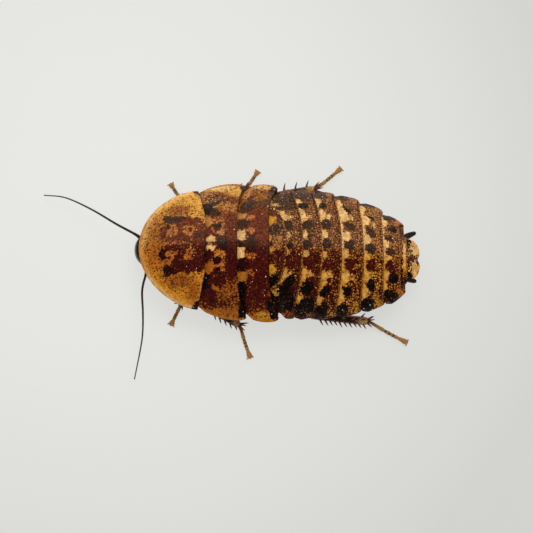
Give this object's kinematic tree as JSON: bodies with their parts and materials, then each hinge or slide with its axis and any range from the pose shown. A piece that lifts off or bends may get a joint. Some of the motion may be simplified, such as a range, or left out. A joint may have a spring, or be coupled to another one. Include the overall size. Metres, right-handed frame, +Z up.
{
  "type": "discoid roach nymph",
  "caption": "Flat oval wingless cockroach nymph with a hooded head, lapped back plates, spiny legs and long feelers, standing still.",
  "frame": {"origin": "on the floor, under the middle of the model's overall length and width", "axes": "+X from the head to the tail, +Y to the animal's right, +Z up"},
  "size_m": [0.056, 0.0342, 0.0096],
  "materials": {
    "amber_shell": "honey amber cuticle speckled with dark red-brown, satin",
    "brown_shell": "dark maroon-brown cuticle with tan and cream blocks, satin",
    "mottled_shell": "tan and dark brown mottled cuticle with dark granules, satin",
    "belly": "plain amber-brown cuticle, satin",
    "black_shell": "black-brown glossy cuticle",
    "eye": "black, glossy",
    "feeler": "dark brown, finely ringed, matt",
    "leg": "dark brown cuticle with a tan patch, satin",
    "foot": "honey amber cuticle with dark bands, satin"
  },
  "bodies": {
    "root": {"head": "black_shell", "eye_left": "eye", "eye_right": "eye", "antenna_left_scape": "feeler", "antenna_left_flagellum_1": "feeler", "antenna_left_flagellum_2": "feeler", "maxillary_palp_left": "leg", "cercus_left": "black_shell", "antenna_right_scape": "feeler", "antenna_right_flagellum_1": "feeler", "antenna_right_flagellum_2": "feeler", "maxillary_palp_right": "leg", "cercus_right": "black_shell", "pronotum": "amber_shell", "prothorax": "belly", "mesonotum": "brown_shell", "metanotum": "brown_shell", "thorax_underside": "belly", "tergite_1": "mottled_shell", "tergite_2": "mottled_shell", "tergite_3": "mottled_shell", "tergite_4": "mottled_shell", "tergite_5": "mottled_shell", "tergite_6": "mottled_shell", "tergite_7": "mottled_shell", "tergite_8": "mottled_shell", "sternite_2": "belly", "sternite_3": "belly", "sternite_4": "belly", "sternite_5": "belly", "sternite_6": "belly", "sternite_7": "belly", "sternite_8": "belly", "supra_anal_plate": "amber_shell", "front_left_coxa": "leg", "front_left_femur": "leg", "front_left_tibia": "leg", "front_left_tarsus": "foot", "front_right_coxa": "leg", "front_right_femur": "leg", "front_right_tibia": "leg", "front_right_tarsus": "foot", "mid_left_coxa": "leg", "mid_left_femur": "leg", "mid_left_tibia": "leg", "mid_left_tarsus": "foot", "mid_right_coxa": "leg", "mid_right_femur": "leg", "mid_right_tibia": "leg", "mid_right_tarsus": "foot", "hind_left_coxa": "leg", "hind_left_femur": "leg", "hind_left_tibia": "leg", "hind_left_tarsus": "foot", "hind_right_coxa": "leg", "hind_right_femur": "leg", "hind_right_tibia": "leg", "hind_right_tarsus": "foot"}
  },
  "joints": []
}
